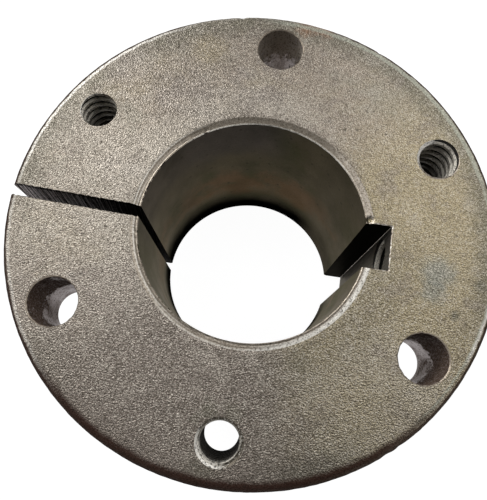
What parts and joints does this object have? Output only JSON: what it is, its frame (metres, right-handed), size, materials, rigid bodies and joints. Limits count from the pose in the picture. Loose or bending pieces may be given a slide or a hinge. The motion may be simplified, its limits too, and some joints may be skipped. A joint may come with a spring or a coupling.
{
  "type": "quick disconnect bushing",
  "caption": "Split tapered bushing with a round flange, keyed bore, plain and tapped flange holes and a radial set screw, for clamping a pulley or sprocket hub on a shaft.",
  "frame": {"origin": "on the bore's axis, at the end face of the barrel's small end, which the part stands on", "axes": "+Z along the bore from the barrel's small end to the flange face, +X through the middle of the keyway, the saw cut towards -X"},
  "size_m": [0.0686, 0.0686, 0.0318],
  "materials": {
    "cast_body": "fine-grained satin grey-brown, worn bright along the bore mouth",
    "black_steel": "black oxide"
  },
  "bodies": {
    "root": {"bushing": "cast_body", "set_screw": "black_steel"}
  },
  "joints": []
}
